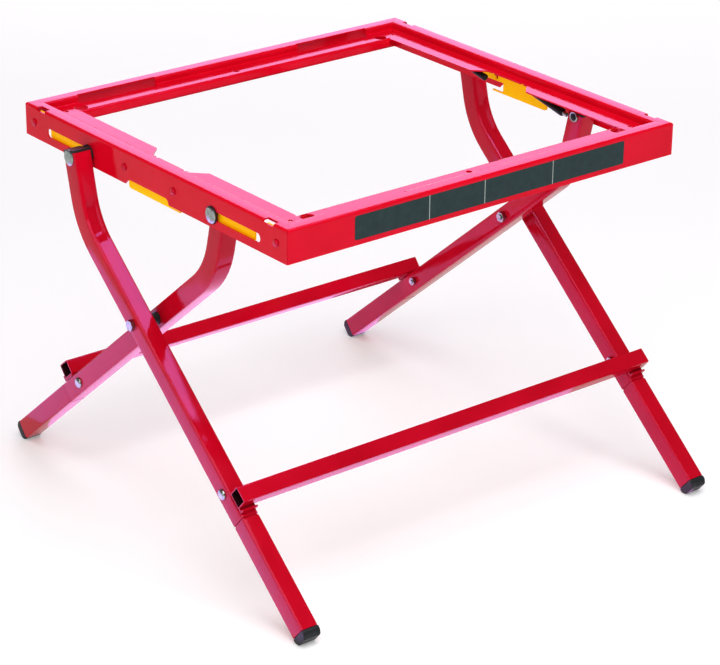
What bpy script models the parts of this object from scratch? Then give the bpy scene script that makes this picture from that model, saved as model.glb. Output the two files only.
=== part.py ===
"""Folding saw stand: a stepped sheet-metal frame on two crossed pairs of tube legs.

Metres, +Z up, floor at z = 0. +X runs along the front rail, +Y from front to back.
"Outer" legs sit outside the side rails and reach from the rear slots to the front feet;
"inner" legs sit inside them and reach from the front slots to the rear feet.
"""
import math

import bmesh
import bpy
from mathutils import Matrix, Vector

# Fits
GAP = 0.0003
HOLE_PLAY = 0.0003
RUN_PLAY = 0.0005
# How far a cutter reaches past what it cuts
SPARE = 0.002

# Top frame
FRAME_WIDTH = 0.630
FRAME_DEPTH = 0.575
RAIL_HEIGHT = 0.044
SHEET = 0.002
FLANGE = 0.021
STEP = 0.0095
LEDGE_REACH = 0.053
LIP_DROP = 0.0205
BEND_RADIUS = 0.0035
INNER_BEND = 0.0012
CORNER_RADIUS = 0.0012

# Openings in the front and back rails
SEAT_HOLE_RADIUS = 0.0095
SEAT_HOLE_INSET = 0.041
SEAT_HOLE_FROM_END = 0.061
SCREW_HOLE_RADIUS = 0.0042
WINDOW_FROM_MIDDLE = 0.121
WINDOW_LENGTH = 0.124
WINDOW_IN_FLANGE = 0.005
WINDOW_IN_LEDGE = 0.006
CORNER_HOLE_RADIUS = 0.003
CORNER_HOLE_FROM_SIDE = 0.0373
CORNER_HOLE_FROM_END = 0.0429

# Openings in the side rails
SLOT_HALF_HEIGHT = 0.006
SLOT_END_SPARE = 0.0047
PIN_DROP = 0.0275
PIN_OFFSET = 0.136
NECKED_REACH = 0.035
NECKED_HALF = 0.040
LANCE_OFFSET = 0.030
LANCE_RADIUS = 0.003
BEND_NOTCH_FROM_END = 0.0275
BEND_NOTCH_LENGTH = 0.020
BEND_NOTCH_REACH = 0.009
BEND_NOTCH_DROP = 0.004
HANDLE_NOTCH_FRONT = 0.043
HANDLE_NOTCH_BACK = 0.045
HANDLE_NOTCH_RISE = 0.0075
HANDLE_NOTCH_CORNER = 0.007

# Rivets
RIVET_RADIUS = 0.0025
RIVET_HEAD_RADIUS = 0.005
RIVET_HEAD_RISE = 0.0025
RIVET_TAIL_RADIUS = 0.0042
RIVET_TAIL = 0.0014
RIVET_DROP = 0.022
CORNER_RIVET_FROM_END = 0.0215
GUIDE_RIVET_OFFSET = 0.054

# Legs
LEG_WIDTH = 0.026
LEG_DEPTH = 0.0275
LEG_CORNER = 0.003
TUBE_WALL = 0.0015
LEG_SLOPE = math.radians(40.3)
TOP_LEAN = math.radians(13.0)
BEND = 0.110
DENT_RIM = 0.0080
DENT_FLOOR = 0.0050
DENT_DEPTH = 0.0042
CROSSING_DROP = 0.2133
OUTER_LEG_STANDOFF = 0.0035
INNER_LEG_SETBACK = 0.008
OUTER_ABOVE_PIN = 0.0062
INNER_ABOVE_PIN = 0.0052
UPPER_LEG_END = 0.293
SHOULDER = 0.003
SOCKET_PAST_BOLT = 0.021
LOWER_LEG_SHOWN = 0.1598
FOLD_ANGLE = math.radians(40.0)

# Plastic caps and feet
OUTER_CAP = 0.003
INNER_CAP = 0.0014
CAP_PLUG = 0.001
CAP_LAP = 0.0005
FOOT_SIDE = 0.004
FOOT_CORNER = 0.008
FOOT_PLUG = 0.024
FOOT_EDGE = 0.0015
FOOT_EDGE_STEPS = 2
FOOT_EDGE_ANGLE = math.radians(60.0)
SOLE_SPREAD = math.radians(20.0)

# Crossbars
BAR_THICKNESS = 0.0205
BAR_WIDTH = 0.022
BAR_CORNER = 0.002
BAR_FROM_LEG_END = 0.022
SADDLE = 0.0024
SADDLE_ABOVE = 0.004
SADDLE_BELOW = 0.006
SADDLE_LIP = 0.0055
WELD = 0.0007

# Pins, bolts, nuts
PIN_RADIUS = 0.004
PIN_HEAD_RADIUS = 0.0105
PIN_HEAD_RISE = 0.0026
PUSH_NUT_RADIUS = 0.007
PUSH_NUT = 0.0022
BUSH_FLANGE_RADIUS = 0.0115
BUSH_FLANGE = 0.0012
BUSH_COLLAR_RADIUS = 0.008
BUSH_COLLAR = 0.0014
CROSSING_RADIUS = 0.004
CROSSING_HEX = 0.0065
CROSSING_HEAD = 0.0055
CROSSING_NUT = 0.0065
SPACER_RADIUS = 0.0085
LEG_BOLT_RADIUS = 0.003
LEG_BOLT_FROM_LEG_END = 0.041
LEG_BOLT_HEAD_RADIUS = 0.0072
LEG_BOLT_HEAD_RISE = 0.0038
LEG_NUT_HEX = 0.005
LEG_NUT = 0.005
THREAD_PROUD = 0.002
DOME_RIM_SHARE = 0.35
HEX_SIDES = 6

# Latch bars
LATCH_SHEET = 0.0025
LATCH_TRAVEL = 0.006
LATCH_TOP_DROP = 0.0125
LATCH_BOTTOM_DROP = 0.0335
LATCH_TAB_DROP = 0.005
LATCH_TAB_PLAY = 0.003
LATCH_GAP_PAST = 0.008
LATCH_GAP = 0.0095
HANDLE_DROP = 0.0495
HANDLE_PLAIN_END = 0.050
HANDLE_OPEN_END = 0.040
HANDLE_STRIP = 0.0022
HANDLE_STRIP_LENGTH = 0.022
HANDLE_CORNER = 0.004

# Facets
SIDES = 18
SMALL_SIDES = 12
BEND_STEPS = 3
LEG_BEND_STEPS = 7
EDGE_STEPS = 2
CORNER_STEPS = 4
DOME_STEPS = 3
MERGE = 0.00001
EMPTY_SIZE = 0.02

# Derived places
HALF_WIDTH = FRAME_WIDTH / 2
HALF_DEPTH = FRAME_DEPTH / 2
WALL_INSIDE = HALF_WIDTH - SHEET
OUTER_LEG_X = HALF_WIDTH + OUTER_LEG_STANDOFF + LEG_WIDTH / 2
INNER_LEG_X = HALF_WIDTH - INNER_LEG_SETBACK - LEG_WIDTH / 2
OUTER_FACE = OUTER_LEG_X + LEG_WIDTH / 2
OUTER_BACK = OUTER_LEG_X - LEG_WIDTH / 2
INNER_FACE = INNER_LEG_X + LEG_WIDTH / 2
INNER_BACK = INNER_LEG_X - LEG_WIDTH / 2
CHORD_DROP = CROSSING_DROP - PIN_DROP
CHORD = math.hypot(PIN_OFFSET, CHORD_DROP)
CHORD_ANGLE = math.atan2(CHORD_DROP, PIN_OFFSET)
TRAVEL = CHORD * math.cos(CHORD_ANGLE - FOLD_ANGLE) - PIN_OFFSET
BUSH_RADIUS = SLOT_HALF_HEIGHT - RUN_PLAY
LATCH_FACE = WALL_INSIDE - BUSH_COLLAR - 2 * GAP
LATCH_BACK = LATCH_FACE - LATCH_SHEET
GUIDE_TAIL_FACE = LATCH_BACK - 2 * GAP
CORNER_RIVET_OFFSET = HALF_DEPTH - CORNER_RIVET_FROM_END
BEND_NOTCH_END = HALF_DEPTH - BEND_NOTCH_FROM_END
BEND_NOTCH_START = BEND_NOTCH_END - BEND_NOTCH_LENGTH
LATCH_END = BEND_NOTCH_END - LATCH_TAB_PLAY
LATCH_TAB_START = BEND_NOTCH_START + LATCH_TAB_PLAY
LATCH_RUN = PIN_RADIUS + 2 * RUN_PLAY
BAR_ALONG = UPPER_LEG_END - BAR_FROM_LEG_END
LEG_BOLT_ALONG = UPPER_LEG_END - LEG_BOLT_FROM_LEG_END
SOCKET_LENGTH = LEG_BOLT_FROM_LEG_END + SOCKET_PAST_BOLT
LOWER_LEG_END = UPPER_LEG_END + LOWER_LEG_SHOWN
# A foot's sole is the one facet of its lower rounded corner that lies level.
FOOT_ARC_ALONG = LOWER_LEG_END + FOOT_SIDE
FOOT_ARC_ACROSS = LEG_DEPTH / 2 - FOOT_CORNER
SOLE_DROP = (
    CROSSING_DROP
    + FOOT_ARC_ALONG * math.sin(LEG_SLOPE)
    + FOOT_ARC_ACROSS * math.cos(LEG_SLOPE)
    + FOOT_CORNER * math.cos(SOLE_SPREAD)
)
TOP = SOLE_DROP
PIN_Z = TOP - PIN_DROP
CROSSING_Z = TOP - CROSSING_DROP


def clear_scene():
    """Remove every object, so the parts start from an empty file."""
    for item in list(bpy.data.objects):
        bpy.data.objects.remove(item, do_unlink=True)


clear_scene()
parts = bpy.data.collections.new("folding_saw_stand")
bpy.context.scene.collection.children.link(parts)
cutters = bpy.data.collections.new("cutters")
bpy.context.scene.collection.children.link(cutters)
cutters.hide_render = True

FINISHES = {
    "enamel": ((0.62, 0.012, 0.035, 1.0), 0.0, 0.22),
    "latch_yellow": ((0.90, 0.48, 0.005, 1.0), 0.0, 0.35),
    "zinc": ((0.62, 0.63, 0.64, 1.0), 1.0, 0.28),
    "black_plastic": ((0.015, 0.015, 0.016, 1.0), 0.0, 0.5),
}


def material(name, finish):
    """A Principled material of its own for one part."""
    colour, metallic, roughness = FINISHES[finish]
    made = bpy.data.materials.new(name)
    made.use_nodes = True
    shader = made.node_tree.nodes["Principled BSDF"]
    shader.inputs["Base Color"].default_value = colour
    shader.inputs["Metallic"].default_value = metallic
    shader.inputs["Roughness"].default_value = roughness
    return made


def axis_empty(name, place):
    """An empty on a joint's axis, for the pieces that turn or slide there."""
    made = bpy.data.objects.new(name, None)
    made.location = place
    made.empty_display_size = EMPTY_SIZE
    parts.objects.link(made)
    return made


fold_axis = axis_empty("fold_axis", (0.0, PIN_OFFSET, PIN_Z))
crossing_axis = axis_empty("crossing_axis", (0.0, 0.0, CROSSING_Z))
latch_axes = {
    "left": axis_empty("left_latch_axis", (-LATCH_FACE, 0.0, PIN_Z)),
    "right": axis_empty("right_latch_axis", (LATCH_FACE, 0.0, PIN_Z)),
}


def finish_mesh(bm, name):
    """Turn a bmesh into mesh data with every face pointing outwards."""
    bmesh.ops.recalc_face_normals(bm, faces=bm.faces)
    data = bpy.data.meshes.new(name)
    bm.to_mesh(data)
    bm.free()
    return data


def make_part(name, bm, finish, axis=None, place=(0.0, 0.0, 0.0)):
    """One named part; a moving one hangs from the empty on its joint's axis."""
    data = finish_mesh(bm, name)
    data.materials.append(material(name, finish))
    made = bpy.data.objects.new(name, data)
    parts.objects.link(made)
    made.location = place
    if axis is not None:
        made.parent = axis
        made.location = Vector(place) - axis.location
    return made


def make_cutter(name, bm):
    """A wire-only solid for a Boolean."""
    made = bpy.data.objects.new(name, finish_mesh(bm, name))
    made.display_type = "WIRE"
    made.hide_render = True
    cutters.objects.link(made)
    return made


def boolean(target, bm, name, operation="DIFFERENCE"):
    """Cut or join a part with the exact solver."""
    step = target.modifiers.new(name, "BOOLEAN")
    step.operation = operation
    step.solver = "EXACT"
    step.object = make_cutter(target.name + "_" + name, bm)


def new_verts(result):
    """The vertices that an extrude or spin made."""
    return [item for item in result if isinstance(item, bmesh.types.BMVert)]


def new_edges(result):
    """The edges that an extrude or spin made."""
    return [item for item in result if isinstance(item, bmesh.types.BMEdge)]


def add_prism(bm, corners, push):
    """Fill a flat outline and extrude it into a solid."""
    face = bm.faces.new([bm.verts.new(corner) for corner in corners])
    grown = bmesh.ops.extrude_face_region(bm, geom=[face])["geom"]
    bmesh.ops.translate(bm, vec=Vector(push), verts=new_verts(grown))


def add_prism_x(bm, outline, start, end):
    """Extrude a (y, z) outline between two x places."""
    add_prism(bm, [(start, y, z) for y, z in outline], (end - start, 0.0, 0.0))


def add_prism_z(bm, outline, start, end):
    """Extrude an (x, y) outline between two heights."""
    add_prism(bm, [(x, y, start) for x, y in outline], (0.0, 0.0, end - start))


def add_rod(bm, start, end, y, z, radius, sides=SIDES):
    """A cylinder, or with few sides a prism, along x."""
    place = Matrix.Translation(((start + end) / 2, y, z)) @ Matrix.Rotation(math.pi / 2, 4, "Y")
    bmesh.ops.create_cone(
        bm,
        cap_ends=True,
        segments=sides,
        radius1=radius,
        radius2=radius,
        depth=abs(end - start),
        matrix=place,
    )


def rectangle(low_a, low_b, high_a, high_b):
    """Corners of a rectangle."""
    return [(low_a, low_b), (high_a, low_b), (high_a, high_b), (low_a, high_b)]


def arc(centre, radius, first, sweep, steps):
    """Points along an arc, angles in degrees."""
    turns = [math.radians(first + sweep * index / steps) for index in range(steps + 1)]
    return [(centre[0] + radius * math.cos(a), centre[1] + radius * math.sin(a)) for a in turns]


def circle(centre, radius, sides=SIDES):
    """A round outline."""
    return arc(centre, radius, 0.0, 360.0, sides)[:-1]


def slot_outline(start, end, level, radius):
    """A level slot with round ends, between its two outer ends."""
    right = arc((end - radius, level), radius, -90.0, 180.0, SIDES // 2)
    left = arc((start + radius, level), radius, 90.0, 180.0, SIDES // 2)
    return right + left


def rounded_box(width, depth, radius):
    """A rectangle with rounded corners, centred on the origin."""
    points = []
    for side_a, side_b, first in ((1, 1, 0.0), (-1, 1, 90.0), (-1, -1, 180.0), (1, -1, 270.0)):
        centre = (side_a * (width / 2 - radius), side_b * (depth / 2 - radius))
        points += arc(centre, radius, first, 90.0, EDGE_STEPS)
    return points


def make_turned(name, side, profile, y, z, finish, axis=None, bored=False, sides=SIDES):
    """Turn an (x, radius) profile about an x axis; a bored one is a closed ring."""
    bm = bmesh.new()
    spots = [bm.verts.new((side * x, radius, 0.0)) for x, radius in profile]
    for here, there in zip(spots, spots[1:]):
        bm.edges.new((here, there))
    if bored:
        bm.edges.new((spots[-1], spots[0]))
    made = make_part(name, bm, finish, axis, (0.0, y, z))
    turn = made.modifiers.new("turn", "SCREW")
    turn.axis = "X"
    turn.steps = sides
    turn.render_steps = sides
    turn.use_merge_vertices = True
    turn.merge_threshold = MERGE
    turn.use_normal_flip = side < 0
    return made


def dome(face, radius, rise):
    """Profile of a shallow domed head standing on a face, from its crown to its rim."""
    rim = DOME_RIM_SHARE * rise
    crown = [(face + rise, 0.0)]
    for index in range(1, DOME_STEPS + 1):
        turn = math.pi / 2 * index / DOME_STEPS
        crown.append((face + rim + (rise - rim) * math.cos(turn), radius * math.sin(turn)))
    return crown + [(face, radius)]


def bend_path(corners, radii):
    """Round a polyline's corners: a list of (point, right-hand normal)."""
    corners = [Vector(corner) for corner in corners]
    ways = [(there - here).normalized() for here, there in zip(corners, corners[1:])]
    normals = [Vector((way.y, -way.x)) for way in ways]
    rounded = [(corners[0], normals[0])]
    for index, radius in enumerate(radii):
        before = normals[index]
        turn = 1.0 if ways[index].cross(ways[index + 1]) > 0 else -1.0
        middle = corners[index + 1] - ways[index] * radius - before * radius * turn
        for step in range(BEND_STEPS + 1):
            normal = before.copy()
            normal.rotate(Matrix.Rotation(turn * math.pi / 2 * step / BEND_STEPS, 2))
            rounded.append((middle + normal * radius * turn, normal))
    rounded.append((corners[-1], normals[-1]))
    return rounded


def rail_profile(lipped):
    """The stepped sheet: wall, flange, step, ledge and perhaps a lip, as (inset, height) points."""
    corners = [
        (0.0, -RAIL_HEIGHT),
        (0.0, 0.0),
        (FLANGE, 0.0),
        (FLANGE, -STEP),
        (LEDGE_REACH, -STEP),
    ]
    radii = [BEND_RADIUS, BEND_RADIUS, INNER_BEND]
    if lipped:
        corners.append((LEDGE_REACH, -LIP_DROP))
        radii.append(BEND_RADIUS)
    shown = bend_path(corners, radii)
    back = [point + normal * SHEET for point, normal in reversed(shown)]
    return [point for point, normal in shown] + back


def rail_solid(across, side):
    """Extrude the sheet profile and shear its ends to mitres; across runs along X, else along Y.

    Only the rails across have a lip under the ledge's edge.
    """
    bm = bmesh.new()
    half_run = HALF_WIDTH if across else HALF_DEPTH
    offset = HALF_DEPTH if across else HALF_WIDTH
    mitred = half_run - GAP / math.sqrt(2.0)
    sheet = rail_profile(across)
    profile = [(-mitred, side * (offset - inset), TOP + height) for inset, height in sheet]
    add_prism(bm, profile, (2 * mitred, 0.0, 0.0))
    for vert in bm.verts:
        inset = offset - abs(vert.co.y)
        vert.co.x -= math.copysign(inset, vert.co.x)
    if not across:
        for vert in bm.verts:
            vert.co.x, vert.co.y = vert.co.y, vert.co.x
    return bm


def add_corner_cuts(bm, side_x, side_y):
    """Round a frame corner's upright edge and open the small hole in its ledge."""
    reach = CORNER_RADIUS
    outline = [(-SPARE, -SPARE), (reach, -SPARE)]
    outline += arc((reach, reach), reach, -90.0, -90.0, CORNER_STEPS)
    outline.append((-SPARE, reach))
    corner = [(side_x * (HALF_WIDTH - a), side_y * (HALF_DEPTH - b)) for a, b in outline]
    add_prism_z(bm, corner, TOP - RAIL_HEIGHT - SPARE, TOP + SPARE)
    centre = (side_x * (HALF_WIDTH - CORNER_HOLE_FROM_SIDE), side_y * (HALF_DEPTH - CORNER_HOLE_FROM_END))
    low = TOP - STEP - SHEET - SPARE
    add_prism_z(bm, circle(centre, CORNER_HOLE_RADIUS, SMALL_SIDES), low, TOP - STEP + SPARE)


def make_cross_rail(name, side):
    """Front (side -1) or back (side 1) rail."""
    rail = make_part(name, rail_solid(True, side), "enamel")
    bm = bmesh.new()
    add_corner_cuts(bm, -1, side)
    add_corner_cuts(bm, 1, side)
    hole_x = HALF_WIDTH - SEAT_HOLE_FROM_END
    hole_y = side * (HALF_DEPTH - SEAT_HOLE_INSET)
    for x, radius in ((-hole_x, SEAT_HOLE_RADIUS), (hole_x, SEAT_HOLE_RADIUS), (0.0, SCREW_HOLE_RADIUS)):
        add_prism_z(bm, circle((x, hole_y), radius), TOP - STEP - SHEET - SPARE, TOP - STEP + SPARE)
    window_out = side * (HALF_DEPTH - FLANGE + WINDOW_IN_FLANGE)
    window_in = side * (HALF_DEPTH - FLANGE - WINDOW_IN_LEDGE)
    for way in (-1, 1):
        start = way * WINDOW_FROM_MIDDLE
        end = way * (WINDOW_FROM_MIDDLE + WINDOW_LENGTH)
        window = rectangle(start, window_in, end, window_out)
        add_prism_z(bm, window, TOP - STEP - SHEET - SPARE, TOP + SPARE)
    boolean(rail, bm, "openings")


def make_side_rail(name, side):
    """Left (side -1) or right (side 1) rail with its pin slots and latch openings."""
    rail = make_part(name, rail_solid(False, side), "enamel")
    ledge_low = TOP - STEP - SHEET - SPARE
    ledge_high = TOP - STEP + SPARE
    edge = side * (HALF_WIDTH - NECKED_REACH)
    flare = LEDGE_REACH - NECKED_REACH + SPARE
    past = edge - side * flare
    wide = NECKED_HALF + flare
    neck = [(edge, -NECKED_HALF), (past, -wide), (past, wide), (edge, NECKED_HALF)]
    bm = bmesh.new()
    add_prism_z(bm, neck, ledge_low, ledge_high)
    boolean(rail, bm, "neck")

    bm = bmesh.new()
    add_corner_cuts(bm, side, -1)
    add_corner_cuts(bm, side, 1)
    inside = side * (WALL_INSIDE - SPARE)
    outside = side * (HALF_WIDTH + SPARE)
    inner_end = PIN_OFFSET - SLOT_HALF_HEIGHT - RUN_PLAY
    outer_end = PIN_OFFSET + TRAVEL + SLOT_HALF_HEIGHT + SLOT_END_SPARE
    for way in (-1, 1):
        ends = sorted((way * inner_end, way * outer_end))
        add_prism_x(bm, slot_outline(ends[0], ends[1], PIN_Z, SLOT_HALF_HEIGHT), inside, outside)
        for offset in (CORNER_RIVET_OFFSET, GUIDE_RIVET_OFFSET):
            hole = RIVET_RADIUS + HOLE_PLAY
            add_rod(bm, inside, outside, way * offset, TOP - RIVET_DROP, hole, SMALL_SIDES)
        start = way * BEND_NOTCH_START
        end = way * BEND_NOTCH_END
        notch = rectangle(side * (HALF_WIDTH - BEND_NOTCH_REACH), start, outside, end)
        add_prism_z(bm, notch, TOP - BEND_NOTCH_DROP, TOP + SPARE)
        lance = circle((edge, way * LANCE_OFFSET), LANCE_RADIUS, SMALL_SIDES)
        add_prism_z(bm, lance, ledge_low, ledge_high)
    bottom = TOP - RAIL_HEIGHT
    ceiling = bottom + HANDLE_NOTCH_RISE
    foot = HANDLE_NOTCH_BACK + HANDLE_NOTCH_RISE + SPARE
    rounded = (-HANDLE_NOTCH_FRONT + HANDLE_NOTCH_CORNER, ceiling - HANDLE_NOTCH_CORNER)
    notch = [(-HANDLE_NOTCH_FRONT, bottom - SPARE), (foot, bottom - SPARE), (HANDLE_NOTCH_BACK, ceiling)]
    notch += arc(rounded, HANDLE_NOTCH_CORNER, 90.0, 90.0, CORNER_STEPS)
    add_prism_x(bm, notch, inside, outside)
    boolean(rail, bm, "openings")


def make_rivet(name, side, y, tail_face):
    """A dome-headed rivet through a side rail's wall."""
    face = HALF_WIDTH + GAP
    profile = dome(face, RIVET_HEAD_RADIUS, RIVET_HEAD_RISE)
    profile += [
        (face, RIVET_RADIUS),
        (tail_face, RIVET_RADIUS),
        (tail_face, RIVET_TAIL_RADIUS),
        (tail_face - RIVET_TAIL, RIVET_TAIL_RADIUS),
        (tail_face - RIVET_TAIL, 0.0),
    ]
    make_turned(name, side, profile, y, TOP - RIVET_DROP, "enamel", sides=SMALL_SIDES)


def leg_point(along, across):
    """A (y, z) place on an outer leg's straight run: from the crossing, and towards its upper face."""
    y = -math.cos(LEG_SLOPE) * along - math.sin(LEG_SLOPE) * across
    z = CROSSING_Z - math.sin(LEG_SLOPE) * along + math.cos(LEG_SLOPE) * across
    return y, z


def leg_outline(points, x):
    """Set (along, across) points of a leg's straight run at an x place."""
    return [(x,) + leg_point(along, across) for along, across in points]


def add_leg_prism(bm, points, start, end):
    """Extrude an (along, across) outline on a leg between two x places."""
    add_prism(bm, leg_outline(points, start), (end - start, 0.0, 0.0))


def lean_over(bm, lean):
    """Mirror what was drawn for an outer leg (lean 1) onto an inner one (lean -1)."""
    bmesh.ops.scale(bm, vec=(1.0, lean, 1.0), verts=bm.verts)


def leg_section(shrink):
    """The leg tube's outline, drawn in by a distance."""
    radius = max(LEG_CORNER - shrink, LEG_CORNER / 4)
    return rounded_box(LEG_WIDTH - 2 * shrink, LEG_DEPTH - 2 * shrink, radius)


def dented_section():
    """The upper leg's outline, with four more points for the dent pressed into its bend's hollow side."""
    points = leg_section(0.0)
    half = LEG_DEPTH / 2
    extra = [(DENT_RIM, half), (DENT_FLOOR, half), (-DENT_FLOOR, half), (-DENT_RIM, half)]
    return points[: EDGE_STEPS + 1] + extra + points[EDGE_STEPS + 1 :]


def press_dent(bm, middle_x, centre):
    """Push the dent's floor into the tube, all along the bend but for its two ends."""
    hollow = BEND - LEG_DEPTH / 2
    first = math.pi / 2 - LEG_SLOPE
    last = TOP_LEAN
    for vert in bm.verts:
        away = Vector((0.0, vert.co.y - centre[1], vert.co.z - centre[2]))
        turn = math.atan2(-away.z, away.y)
        on_floor = abs(vert.co.x - middle_x) < (DENT_FLOOR + DENT_RIM) / 2
        if on_floor and abs(away.length - hollow) < MERGE and last + MERGE < turn < first - MERGE:
            vert.co += away.normalized() * DENT_DEPTH


def add_section(bm, section, middle_x, along):
    """An edge loop of a section outline, square to a leg's straight run."""
    spots = []
    for a, c in section:
        y, z = leg_point(along, c)
        spots.append(bm.verts.new((middle_x + a, y, z)))
    return [bm.edges.new((here, there)) for here, there in zip(spots, spots[1:] + spots[:1])]


def extrude_loop(bm, loop, push):
    """Extrude an edge loop in a straight line and return the new loop."""
    grown = bmesh.ops.extrude_edge_only(bm, edges=loop)["geom"]
    bmesh.ops.translate(bm, vec=Vector(push), verts=new_verts(grown))
    return new_edges(grown)


def tube_wall(made, thickness):
    """Give a one-sheet tube its wall, inwards."""
    wall = made.modifiers.new("wall", "SOLIDIFY")
    wall.thickness = thickness
    wall.offset = -1.0
    wall.use_even_offset = True


def bend_start():
    """How far above the crossing a leg starts to bend, so that its top passes the pin."""
    y = BEND * (math.cos(TOP_LEAN) - math.sin(LEG_SLOPE))
    z = CROSSING_Z + BEND * (math.cos(LEG_SLOPE) - math.sin(TOP_LEAN))
    left = (PIN_OFFSET - y) * math.cos(TOP_LEAN) - (PIN_Z - z) * math.sin(TOP_LEAN)
    return left / math.cos(LEG_SLOPE + TOP_LEAN)


def top_way(length):
    """A step up along a leg's top run."""
    return Vector((0.0, length * math.sin(TOP_LEAN), length * math.cos(TOP_LEAN)))


def make_upper_leg(name, middle_x, lean, axis):
    """A tube drawn straight up from its socket end, bent, and run on past the pin."""
    bm = bmesh.new()
    start = bend_start()
    loop = add_section(bm, dented_section(), middle_x, UPPER_LEG_END)
    here = Vector((0.0,) + leg_point(UPPER_LEG_END, 0.0))
    there = Vector((0.0,) + leg_point(-start, 0.0))
    loop = extrude_loop(bm, loop, there - here)
    centre = (0.0,) + leg_point(-start, BEND)
    upright = math.pi / 2 - TOP_LEAN
    verts = list({vert for edge in loop for vert in edge.verts})
    bent = bmesh.ops.spin(
        bm,
        geom=verts + loop,
        cent=centre,
        axis=(1.0, 0.0, 0.0),
        angle=upright - LEG_SLOPE,
        steps=LEG_BEND_STEPS,
    )["geom_last"]
    bend_y = centre[1] + BEND * math.sin(upright)
    above = (PIN_OFFSET - bend_y) / math.sin(TOP_LEAN)
    past_pin = OUTER_ABOVE_PIN if lean > 0 else INNER_ABOVE_PIN
    extrude_loop(bm, new_edges(bent), top_way(above + past_pin))
    press_dent(bm, middle_x, centre)
    lean_over(bm, lean)
    return make_part(name, bm, "enamel", axis)


def add_cross_holes(bm, middle_x, places):
    """Hole cutters across a leg tube at (y, z, radius) places."""
    for y, z, radius in places:
        add_rod(bm, middle_x - LEG_WIDTH, middle_x + LEG_WIDTH, y, z, radius + HOLE_PLAY, SMALL_SIDES)


def make_leg(prefix, side, lean, axis):
    """Upper tube, socketed lower tube, top cap and foot of one leg."""
    middle_x = side * (OUTER_LEG_X if lean > 0 else INNER_LEG_X)
    bolt = leg_point(LEG_BOLT_ALONG, 0.0) + (LEG_BOLT_RADIUS,)

    upper = make_upper_leg(prefix + "_upper_leg", middle_x, lean, axis)
    tube_wall(upper, TUBE_WALL)
    bm = bmesh.new()
    pin = (PIN_OFFSET, PIN_Z, PIN_RADIUS)
    crossing = (0.0, CROSSING_Z, CROSSING_RADIUS)
    add_cross_holes(bm, middle_x, (pin, crossing, bolt))
    lean_over(bm, lean)
    boolean(upper, bm, "holes")

    bm = bmesh.new()
    loop = add_section(bm, leg_section(0.0), middle_x, LOWER_LEG_END)
    shoulder = UPPER_LEG_END + GAP + SHOULDER
    uphill = Vector((0.0, math.cos(LEG_SLOPE), math.sin(LEG_SLOPE)))
    loop = extrude_loop(bm, loop, uphill * (LOWER_LEG_END - shoulder))
    neck = add_section(bm, leg_section(TUBE_WALL + GAP), middle_x, UPPER_LEG_END + GAP)
    bmesh.ops.bridge_loops(bm, edges=loop + neck)
    extrude_loop(bm, neck, uphill * SOCKET_LENGTH)
    lean_over(bm, lean)
    lower = make_part(prefix + "_lower_leg", bm, "enamel", axis)
    tube_wall(lower, TUBE_WALL)
    bm = bmesh.new()
    add_cross_holes(bm, middle_x, (bolt,))
    lean_over(bm, lean)
    boolean(lower, bm, "hole")

    make_leg_cap(prefix, middle_x, lean, axis)
    make_foot(prefix, middle_x, lean, axis)


def top_outline(outline, middle_x, above):
    """Set a section outline square to a leg's top run, some way above its pin."""
    base = Vector((middle_x, PIN_OFFSET, PIN_Z)) + top_way(above)
    forward = Vector((0.0, -math.cos(TOP_LEAN), math.sin(TOP_LEAN)))
    return [base + Vector((a, 0.0, 0.0)) + forward * c for a, c in outline]


def make_leg_cap(prefix, middle_x, lean, axis):
    """Black cap: a plate over the tube's top and a short plug inside it."""
    seat = GAP + (OUTER_ABOVE_PIN if lean > 0 else INNER_ABOVE_PIN)
    thickness = OUTER_CAP if lean > 0 else INNER_CAP
    bm = bmesh.new()
    add_prism(bm, top_outline(leg_section(0.0), middle_x, seat), top_way(thickness))
    lean_over(bm, lean)
    cap = make_part(prefix + "_leg_cap", bm, "black_plastic", axis)
    bm = bmesh.new()
    plug = leg_section(TUBE_WALL + GAP)
    add_prism(bm, top_outline(plug, middle_x, seat - CAP_PLUG), top_way(CAP_PLUG + CAP_LAP))
    lean_over(bm, lean)
    boolean(cap, bm, "plug", "UNION")


def make_foot(prefix, middle_x, lean, axis):
    """Black rounded foot with one level facet as its sole, and a plug in the tube."""
    half = LEG_DEPTH / 2
    start = LOWER_LEG_END + GAP
    down = math.pi / 2 - LEG_SLOPE
    turns = [math.pi / 2, down + SOLE_SPREAD, down - SOLE_SPREAD, (down - SOLE_SPREAD) / 2, 0.0]
    upper = [
        (
            FOOT_ARC_ALONG + FOOT_CORNER * math.cos(turn),
            FOOT_ARC_ACROSS + FOOT_CORNER * math.sin(turn),
        )
        for turn in turns
    ]
    lower = [(along, -across) for along, across in reversed(upper)]
    outline = [(start, half)] + upper + lower + [(start, -half)]
    bm = bmesh.new()
    add_leg_prism(bm, outline, middle_x - LEG_WIDTH / 2, middle_x + LEG_WIDTH / 2)
    lean_over(bm, lean)
    foot = make_part(prefix + "_foot", bm, "black_plastic", axis)
    rounding = foot.modifiers.new("rounding", "BEVEL")
    rounding.width = FOOT_EDGE
    rounding.segments = FOOT_EDGE_STEPS
    rounding.limit_method = "ANGLE"
    rounding.angle_limit = FOOT_EDGE_ANGLE
    bm = bmesh.new()
    plug_half = half - TUBE_WALL - GAP
    plug_wide = LEG_WIDTH / 2 - TUBE_WALL - GAP - LEG_CORNER / 2
    plug = rectangle(LOWER_LEG_END - FOOT_PLUG, -plug_half, start + FOOT_SIDE / 2, plug_half)
    add_leg_prism(bm, plug, middle_x - plug_wide, middle_x + plug_wide)
    lean_over(bm, lean)
    boolean(foot, bm, "plug", "UNION")


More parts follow.
